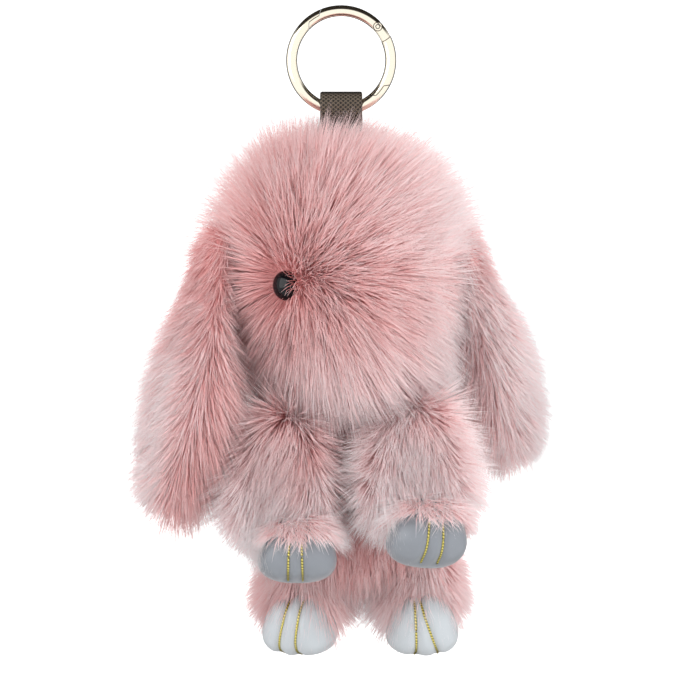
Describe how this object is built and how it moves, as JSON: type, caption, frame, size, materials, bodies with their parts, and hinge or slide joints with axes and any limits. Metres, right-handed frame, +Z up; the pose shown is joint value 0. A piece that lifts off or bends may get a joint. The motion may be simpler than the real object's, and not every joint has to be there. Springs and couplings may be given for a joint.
{
  "type": "plush keychain",
  "caption": "Fluffy stuffed rabbit with long lop ears and satin paws, hung by a folded leather strap from a round spring-gate ring.",
  "frame": {"origin": "inner top of the ring, where it bears on whatever carries it", "axes": "+Z up against the pull of the hanging part, -Y to the rabbit's front, +X to the right as seen from the front"},
  "size_m": [0.1151, 0.0887, 0.1808],
  "materials": {
    "pale_gold": "polished",
    "spring_steel": "satin",
    "brown_leather": "cross-grain embossed",
    "brown_thread": "matt",
    "pink_fur": "long soft pile",
    "white_fibre": "matt",
    "pink_cord": "matt",
    "eye_black": "polished",
    "washer_white": "matt",
    "paw_satin": "satin"
  },
  "bodies": {
    "ring": {"ring_body": "pale_gold", "gate_pin": "pale_gold"},
    "gate": {"ring_gate": "pale_gold", "gate_spring": "spring_steel", "gate_plunger": "spring_steel"},
    "head": {"strap": "brown_leather", "strap_thread": "brown_thread", "head_fur": "pink_fur", "head_stuffing": "white_fibre", "eye_left": "eye_black", "eye_right": "eye_black", "eye_washer_left": "washer_white", "eye_washer_right": "washer_white"},
    "ear_left": {"ear_left": "pink_fur"},
    "ear_right": {"ear_right": "pink_fur"},
    "body": {"body_fur": "pink_fur", "body_stuffing": "white_fibre", "neck_core": "white_fibre", "neck_binding": "pink_cord"},
    "arm_left": {"arm_left": "pink_fur", "paw_left": "paw_satin", "paw_binding_left": "pink_cord"},
    "arm_right": {"arm_right": "pink_fur", "paw_right": "paw_satin", "paw_binding_right": "pink_cord"},
    "leg_left": {"leg_left": "pink_fur", "foot_left": "paw_satin", "foot_binding_left": "pink_cord"},
    "leg_right": {"leg_right": "pink_fur", "foot_right": "paw_satin", "foot_binding_right": "pink_cord"}
  },
  "joints": [
    {"name": "gate_hinge", "type": "hinge", "parent": "ring", "child": "gate", "pos_m": [0.01012, 0, -0.00292], "axis": [0, -1, 0], "range_deg": [0, 45], "stiffness_Nm_per_rad": 0.01, "springref_deg": -20.05},
    {"name": "strap_swing", "type": "hinge", "parent": "ring", "child": "head", "pos_m": [0, 0, -0.02528], "axis": [1, 0, 0], "range_deg": [-80, 80]},
    {"name": "neck_turn", "type": "hinge", "parent": "head", "child": "body", "pos_m": [0, 0, -0.10718], "axis": [0, 0, 1], "range_deg": [-13, 47]},
    {"name": "ear_left_lift", "type": "hinge", "parent": "head", "child": "ear_left", "pos_m": [-0.03366, -0.01029, -0.06218], "axis": [-0.292, 0.955, -0.0523], "range_deg": [0, 75]},
    {"name": "ear_right_lift", "type": "hinge", "parent": "head", "child": "ear_right", "pos_m": [0.03366, 0.01029, -0.06218], "axis": [0.2711, -0.8867, -0.3746], "range_deg": [0, 75]},
    {"name": "arm_left_swing", "type": "hinge", "parent": "body", "child": "arm_left", "pos_m": [-0.0155, -0.015, -0.11468], "axis": [-1, 0, 0], "range_deg": [0, 60]},
    {"name": "arm_right_swing", "type": "hinge", "parent": "body", "child": "arm_right", "pos_m": [0.0195, -0.015, -0.11218], "axis": [-1, 0, 0], "range_deg": [0, 60]},
    {"name": "leg_left_swing", "type": "hinge", "parent": "body", "child": "leg_left", "pos_m": [-0.0115, 0.006, -0.15168], "axis": [-1, 0, 0], "range_deg": [-35, 10]},
    {"name": "leg_right_swing", "type": "hinge", "parent": "body", "child": "leg_right", "pos_m": [0.0225, 0.006, -0.15168], "axis": [-1, 0, 0], "range_deg": [-35, 10]}
  ]
}
